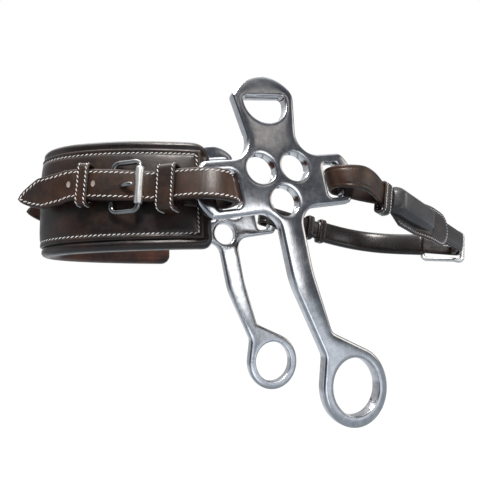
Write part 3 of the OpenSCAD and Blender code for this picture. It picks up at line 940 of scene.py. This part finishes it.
def roller_geo(z_half, r, bore, centre, place):
    """A rolled tube with turned-in ends."""
    profile = [(bore, -z_half + 0.3), (r * 0.82, -z_half), (r * 0.97, -z_half + 0.25),
               (r, -z_half + 0.8), (r, -z_half * 0.5), (r * 0.985, 0), (r, z_half * 0.5),
               (r, z_half - 0.8), (r * 0.97, z_half - 0.25), (r * 0.82, z_half), (bore, z_half - 0.3)]
    return Geo().grid([place([[centre[0] + q * math.cos(a), centre[1] + q * math.sin(a), z]
                              for a in around(26)]) for q, z in profile], closed=True)


both("buckle_roller_tube", roller_geo(9.5, 2.1, 1.6, (-BUCKLE_L, free_rise), at_buckle), [BRIGHTENED_STEEL],
     "{}_roller", ["{}_roller"], "steel")


def prong_geo(free, rise, place, up, r=1.15, reach=2.3):
    """A prong: an eye round the fixed bar and a slightly bowed pin with a rounded tip."""
    eye = [[2.35 * math.cos(a), 2.35 * math.sin(a), 0.0] for a in np.linspace(2.6, -2.6, 22)]
    geo = tube(place(eye), 0.85, False, 10, up=up)
    over = rise + 1.9
    pin = curve(22, [-1.9, 0.9, 0], [-free * 0.3, 2.2, 0], [-free * 0.6, over + 0.6, 0],
                [reach - free, over - 0.4, 0])
    radius = r * np.concatenate([np.linspace(1.02, 1, 16), [1, 0.97, 0.92, 0.82, 0.62, 0.25]])
    return tube(place(pin), radius, False, 12, geo, up=up)


strap_up = strap_aim([0.0, 0, 1])
both("buckle_prong_pin", prong_geo(BUCKLE_L, free_rise, at_buckle, strap_up), [DARKENED_STEEL],
     "{}_prong", ["{}_prong"], "steel")

# ---- curb strap ----
CURB_W, CURB_PLY = 14.4, 2.0
IN_Y, OUT_Y = PLATE_INNER - 2.1, PLATE_OUTER + 2.5
CHAPE_FOLD_X, CURB_FOLD_X = -11.2, -8.6
CURB_A, CURB_B = np.array([27, -51.9]), np.array([133.0, -19.0])
CURB_BAR = np.array([140.0, -10.0])
FRAME_DIR = np.array([-0.55, 0.835])
CURB_DIR = unit(CURB_B - CURB_A)
CURB_OUT = -left_of(CURB_DIR)
FRAME_OUT = -left_of(FRAME_DIR)
CURB_L, CURB_H = 23.0, 23.5
CURB_FREE = CURB_BAR + CURB_L * FRAME_DIR
PAD_CURVE = np.array([[22, 45.5], [86, 56], [104, 36], [119, 16]], float)


def chape_line():
    """Middle line of the doubled strap: from inside, round the left rear bar, out to the buckle."""
    inner = CURB_A - CURB_OUT * (CURB_PLY + 0.1)
    keeper = CURB_A + 5 * CURB_DIR
    bar, fold, bulge = [0, -IN_Y], [CHAPE_FOLD_X, -51.5], [2, -62]
    return resample(join(
        [inner + CURB_DIR * 27],
        curve(10, inner, [18, -IN_Y - 2], [12, -IN_Y], bar),
        curve(10, bar, [-7, -IN_Y], [CHAPE_FOLD_X, -46.8], fold),
        curve(12, fold, [CHAPE_FOLD_X, -57.6], [-6, -61.2], bulge),
        curve(18, bulge, [14, -63], keeper - 9 * CURB_DIR, keeper),
        [keeper, CURB_B],
        curve(8, CURB_B, CURB_B + 2.5 * CURB_DIR, CURB_BAR - [4, 3.6], CURB_BAR + [0.5, 0.6])), 1.0)


line = chape_line()
p, o, a = flat_frames(line, curb_place, curb_aim)
# near the bar the strap sits lower, stands upright and is a little narrower, to fit the slot
near_fold = np.clip((8 - line[:, 0]) / 19.5, 0, 1)
p = p - np.array([0, 0, 2.4]) * (near_fold ** 2 * (3 - 2 * near_fold))[:, None]
from_fold = line[:, 0] - CHAPE_FOLD_X
upright = math.tan(math.radians(CURB_TILT)) * np.exp(-(from_fold / 8.0) ** 2)
a = a - np.array([1.0, 0, 0]) * upright[:, None]
narrowed = 1 - 0.07 * np.exp(-(from_fold / 3.0) ** 2)
chape = sweep(p, -o, -a, strap_section(CURB_W, CURB_PLY, 0.3, 0.28, 26), narrowed)
knob = [curb_place([*CURB_BAR, z]) for z in np.linspace(-CURB_W / 2 + 0.4, CURB_W / 2 - 0.4, 8)]
tube(knob, [1.7, 2.05, 2.15, 2.15, 2.15, 2.15, 2.05, 1.7], False, 16, chape, up=(0, 1, 0))
make("curb_chape_strap", chape, [STRAP_HIDE, EDGE], "curb", ["curb_chape"])

billet_mid = CURB_PLY + 0.2
bend_at = CURB_B + CURB_DIR * 1.5 + CURB_OUT * billet_mid
under_free = CURB_FREE - FRAME_OUT * 2.4
line = resample(join(
    [PAD_CURVE[3] - 3 * unit(PAD_CURVE[3] - PAD_CURVE[2]), under_free],
    fillet(under_free, CURB_BAR + FRAME_OUT * 4.7 - FRAME_DIR * 3.4, bend_at, 3.2),
    [bend_at, CURB_A + CURB_DIR * 53 + CURB_OUT * billet_mid]), 1.0)
p, o, a = flat_frames(line, curb_place, curb_aim)
billet = sweep(p, o, a, strap_section(CURB_W, CURB_PLY, 0.3, 0.25, 26))
make("curb_billet_strap", billet, [CURB_HIDE, HIDE], "curb", ["curb_billet"])


def curb_at(s, o, z):
    """s along the straight of the curb, o outward, z up."""
    q = CURB_A + CURB_DIR * s + CURB_OUT * o
    return curb_place([q[0], q[1], z])


curb_axes = (curb_aim([*CURB_DIR, 0]), curb_aim([*CURB_OUT, 0]), curb_aim([0.0, 0, 1]))
loop = round_loop(-CURB_PLY * 1.5 - 1.2, CURB_PLY / 2 + 1.2, CURB_W / 2 + 2.6, 2.2)
parts = keeper_band(loop, 7.4, 1.4, curb_at(4.8, 0, -1.8), *curb_axes, pitch=1.9)
put_keeper("curb_plate_keeper", parts, [CURB_HIDE, EDGE], THREAD, "curb", "curb_plate_keeper")


def box_keeper():
    """Long moulded keeper: a flat top, bevelled sides, a sloped front and an oval mouth."""
    length, start = 52.0, 11.0
    half, top, low = CURB_W / 2 + 1.6, 7.2, -CURB_PLY / 2
    rows = []
    for s, k, drop in [(0, 0.86, 4.4), (0.4, 0.93, 4.0), (2.2, 0.99, 2.2), (4.2, 1, 0.65),
                       (5.4, 1, 0.2), (8, 1, 0), (20, 1, 0), (34, 1, 0), (44.6, 1, 0.05),
                       (46, 1, 0.4), (49, 0.97, 2.2), (51.6, 0.92, 3.8), (52, 0.9, 4.3)]:
        h = top - drop
        w = half * k
        prof = [(low, w), (low + 0.45 * (h - low), w * 1.01), (low + 0.60 * (h - low), w * 0.99),
                (low + 0.68 * (h - low), w * 0.955), (h - 0.42, w * 0.69), (h - 0.12, w * 0.63),
                (h, w * 0.56), (h + 0.1, w * 0.3), (h + 0.12, 0)]
        prof = prof + [(o, -z) for o, z in prof[-2::-1]]
        rows.append([curb_at(start + s, o, z) for o, z in prof])
    geo = Geo().grid(rows, wrap=False, flip=True)
    m = len(prof)
    geo.add([*rows[0], curb_at(start - 0.2, low + 0.6, 0)], [[k, k + 1, m] for k in range(m - 1)])
    geo.add([*rows[-1], curb_at(start + length + 0.2, low + 0.6, 0)],
            [[k + 1, k, m] for k in range(m - 1)])
    along, off = np.array([0.86, -0.51]), np.array([0.51, 0.86])
    mouth = np.array([start + 48.3, top - 1.75])
    rings = []
    for k, push in ((1.2, -0.1), (1.08, 0.4), (0.94, 0.42), (0.84, 0.16), (0.02, 0.14)):
        rings.append([curb_at(*(mouth + off * push + along * 2.3 * k * math.sin(b)),
                              5.6 * k * math.cos(b)) for b in around(28)])
    # The last gap closes the mouth with the near-black leather: painted shade inside the keeper.
    return geo.grid(rings, (1, 1, 1, 2))


make("curb_box_keeper_leather", box_keeper(), [SHEEN_BOX_HIDE, EDGE, MOUTH_SHADE], "curb", ["curb_box_keeper"])


def backing():
    """Stitched tongue with a round end: under the box keeper, and over the billet past it."""
    width, start, run, drop = 24.5, 13.0, 58.0, 2.0
    half = width / 2
    outline = [(start, -half * 0.6), (start + 10, -half), (start + run, -half)]
    outline += [(start + run + half * math.cos(b), half * math.sin(b))
                for b in np.linspace(-math.pi / 2, math.pi / 2, 18)]
    outline += [(start + 10, half), (start, half * 0.6)]
    outline = resample(np.array(outline + outline[:1]), 1.2)[:-1]

    def rise(s):
        u = min(max((s - 40) / 20, 0), 1)
        return 0.2 + 3.7 * u * u * (3 - 2 * u)

    def ring(shrink, o):
        row = []
        for q in outline:
            base = np.array([np.clip(q[0], start + half, start + run), 0.0])
            p = base + (q - base) * (1 - shrink / half)
            row.append(curb_at(p[0], rise(p[0]) + o, p[1] - drop))
        return row

    steps = [(5.5, -0.75), (2.5, -0.75), (0.5, -0.8), (0.12, -0.6), (0.0, 0.0), (0.12, 0.6), (0.5, 0.8),
             (1.2, 0.86), (1.7, 0.6), (2.2, 0.8), (4.5, 0.86), (8.0, 0.9)]
    rows = [ring(*q) for q in steps]
    geo = Geo().grid(rows)
    loop_of_all = list(range(len(outline)))
    geo.add(rows[0], [loop_of_all])
    geo.add(rows[-1], [loop_of_all[::-1]])
    keep = [i for i, q in enumerate(outline) if q[0] > start + 8]
    path = np.array(ring(1.7, 0.68))
    order = sorted(keep, key=lambda i: math.atan2(outline[i][1], outline[i][0] - start - 10))
    return geo, stitches(Geo(), path[order], np.tile(curb_axes[1], (len(order), 1)), 2.3, 1.9, 0.4)


geo, sew = backing()
make("curb_backing_leather", geo, [HIDE], "curb", ["curb_backing"])
make("curb_backing_stitching", sew, [DULL_THREAD], "curb")


def at_curb_buckle(points):
    """(away from the free bar, out, up) from the fixed bar, to the part's own frame."""
    q = np.asarray(points, float)
    xy = CURB_BAR - np.outer(q[:, 0], FRAME_DIR) + np.outer(q[:, 1], FRAME_OUT)
    return curb_place(np.column_stack([xy, q[:, 2]]))


ring = at_curb_buckle(frame_loop(CURB_L, 0.0, CURB_H, 3.0, 5.2))
frame_out_dir = curb_aim([*FRAME_OUT, 0])
# The curb buckle frame takes the steel painted near white: a painted highlight.
make("curb_buckle_wire", tube(ring, 1.75, True, 14, flat=0.85, up=frame_out_dir), [BRIGHTENED_STEEL], "curb",
     ["curb_buckle"], "steel")
make("curb_prong_pin", prong_geo(CURB_L, -0.9, at_curb_buckle, curb_aim([0.0, 0, 1])), [DARKENED_STEEL],
     "curb_prong", ["curb_prong"], "steel")


SOFT_W, SOFT_T = 18.0, 6.5


def soft_strap():
    """The padded far strap: full and round in section, with closed, tapered ends."""
    ts = np.linspace(0.13, 1.0, 90)
    tail = PAD_CURVE[3] + 11 * unit(CURB_FREE - FRAME_OUT * 2.4 - PAD_CURVE[3])
    line = resample(join([bezier(PAD_CURVE, t) for t in ts], [tail]), 1.0)
    p, o, a = flat_frames(line, curb_place, curb_aim)
    m = 30
    section = []
    for k in range(m):
        b = 2 * math.pi * k / m
        c, s = math.cos(b), math.sin(b)
        section.append((SOFT_T / 2 * math.copysign(abs(c) ** 0.72, c),
                        SOFT_W / 2 * math.copysign(abs(s) ** 0.5, s), 0))
    e = np.minimum(np.arange(len(line)), np.arange(len(line))[::-1]) * 1.0
    close = np.sqrt(np.maximum(0.02, 1 - (1 - np.minimum(e / 3.2, 1)) ** 2))
    lift = np.array([[s[0] * (k - 1) * 0.8 + 0.12 * soft_noise(i * 1.0, s[1], 33)
                      for s in section] for i, k in enumerate(close)])
    return sweep(p, o, a, section, 0.86 + 0.14 * close, lift=lift)


soft = make("curb_padded_strap", soft_strap(), [CURB_HIDE], "curb", ["curb_pad", "curb_pad_cover"])

loop_line = resample(join(
    curve(12, [45.5, 46.9], [30, 44.9], [14, IN_Y], [0, IN_Y]),
    fillet([0, IN_Y], [CURB_FOLD_X, IN_Y], [CURB_FOLD_X, OUT_Y], 4.4),
    fillet([CURB_FOLD_X, IN_Y], [CURB_FOLD_X, OUT_Y], [0, OUT_Y], 4.8),
    curve(12, [0, OUT_Y], [14, OUT_Y], [24, 47.6], [45.5, 49.6])), 1.0)
p, o, a = flat_frames(loop_line, curb_place, curb_aim)
make("curb_far_loop_strap", sweep(p, o, a, strap_section(CURB_W, CURB_PLY, 0.3, 0.25, 26)),
     [CURB_HIDE, EDGE], "curb", ["curb_far_loop"])

for name, t in (("curb_inner_keeper", 0.08), ("curb_outer_keeper", 0.16)):
    at, d = bezier(PAD_CURVE, t), slope(PAD_CURVE, t)
    high = SOFT_T / 2 + 0.7
    loop = round_loop(-high, high, SOFT_W / 2 + 0.8, 2.6)
    parts = keeper_band(loop, 5.4, 1.4, curb_place([*at, 0]), *axes_along(d, curb_aim), pitch=1.9)
    put_keeper(name, parts, [CURB_HIDE, EDGE], DULL_THREAD, "curb", name)

# ---- floor, light and world ----
FLOOR_DROP, FLOOR_REACH = 0.04, 12.0
lowest = min(cad_box[0][2], cad_box[1][2]) - FLOOR_DROP
floor_mesh = bpy.data.meshes.new("floor")
corners = [(x * FLOOR_REACH, y * FLOOR_REACH, lowest) for x, y in ((-1, -1), (1, -1), (1, 1), (-1, 1))]
floor_mesh.from_pydata(corners, [], [[0, 1, 2, 3]])
floor = bpy.data.objects.new("floor", floor_mesh)
bpy.context.scene.collection.objects.link(floor)
paper = material("pale_paper")
paper.set(Roughness=0.9, Specular_IOR_Level=0.0, Emission_Color=(1, 1, 1, 1), Emission_Strength=0.95)
paper.link(paper.ramp(paper.noise(3, 2), [(0.2, (0.07, 0.07, 0.07)), (0.8, (0.09, 0.09, 0.09))]),
           paper.shader.inputs["Base Color"])
floor_mesh.materials.append(paper.owner)
floor.visible_glossy = False
floor.visible_diffuse = False


def area(name, at, target, size, power, colour=(1, 1, 1)):
    """A rectangular lamp that faces its target."""
    data = bpy.data.lights.new(name, "AREA")
    data.shape = "RECTANGLE"
    data.size, data.size_y = size
    data.energy = power
    data.color = colour
    lamp = bpy.data.objects.new(name, data)
    bpy.context.scene.collection.objects.link(lamp)
    back = unit(np.subtract(at, target))
    side = unit(np.cross([0, 0, 1], back))
    axes = Matrix(np.column_stack([side, np.cross(back, side), back]).tolist())
    lamp.matrix_world = Matrix.Translation(at) @ axes.to_4x4()


area("key", (0.03, -0.9, 0.86), (0.02, -0.02, 0), (0.38, 0.38), 13, (1.0, 0.96, 0.92))
area("top", (0.1, 0.15, 1.1), (0.05, 0, 0), (0.9, 0.7), 6)

sky = Nodes(bpy.data.worlds.new("studio"), "Background")
bpy.context.scene.world = sky.owner
direction = sky.add("ShaderNodeTexCoord").outputs["Generated"]


def compass(azimuth, elevation):
    """A direction: azimuth turns from the left cheek's side (-Y) towards the jaw (+X)."""
    a, e = math.radians(azimuth), math.radians(elevation)
    return (math.sin(a) * math.cos(e), -math.cos(a) * math.cos(e), math.sin(e))


DIM = (0.08, 0.088, 0.105)


def soft_box(total, azimuth, elevation, inner, outer, radiance, colour=(1, 1, 1)):
    """Adds a soft round patch of light to the world, full to inner degrees and gone by outer."""
    dot = sky.add("ShaderNodeVectorMath", operation="DOT_PRODUCT")
    dot.inputs[1].default_value = compass(azimuth, elevation)
    sky.link(direction, dot.inputs[0])
    dark, full = (math.cos(math.radians(angle)) for angle in (outer, inner))
    fade = sky.range(dot.outputs["Value"], 0.0, radiance, dark, full)
    fade.node.interpolation_type = "SMOOTHSTEP"
    tint = sky.add("ShaderNodeVectorMath", operation="SCALE")
    tint.inputs[0].default_value = colour
    sky.link(fade, tint.inputs["Scale"])
    add = sky.add("ShaderNodeVectorMath")
    sky.link(tint.outputs["Vector"], add.inputs[0])
    if total is None:
        add.inputs[1].default_value = DIM
    else:
        sky.link(total, add.inputs[1])
    return add.outputs["Vector"]


COOL, WARM = (0.88, 0.94, 1.0), (1.0, 0.92, 0.82)
glow = None
for box in [(0, 90, 25, 62, 1.0), (0, -90, 76, 87, 0.40, COOL), (20, 2, 3, 10, 3.0),
            (-95, 5, 12, 34, 0.55, COOL), (180, 10, 30, 70, 0.5), (60, 8, 5, 18, 2.0, WARM),
            (95, 5, 15, 40, 0.2), (8, -15, 4, 12, 1.6, COOL), (30, 22, 2, 6, 0.6, WARM),
            (30, -14, 2, 11, 0.65, COOL), (-35, 45, 8, 25, 0.15)]:
    glow = soft_box(glow, *box)
mix = sky.add("ShaderNodeMix", data_type="RGBA")
factor, lit, plain = mix.inputs[0], mix.inputs[6], mix.inputs[7]
plain.default_value = (1, 1, 1, 1)
sky.link(sky.add("ShaderNodeLightPath").outputs["Is Camera Ray"], factor)
sky.link(glow, lit)
sky.link(mix.outputs[2], sky.shader.inputs["Color"])

bpy.context.scene.view_settings.view_transform = "Standard"
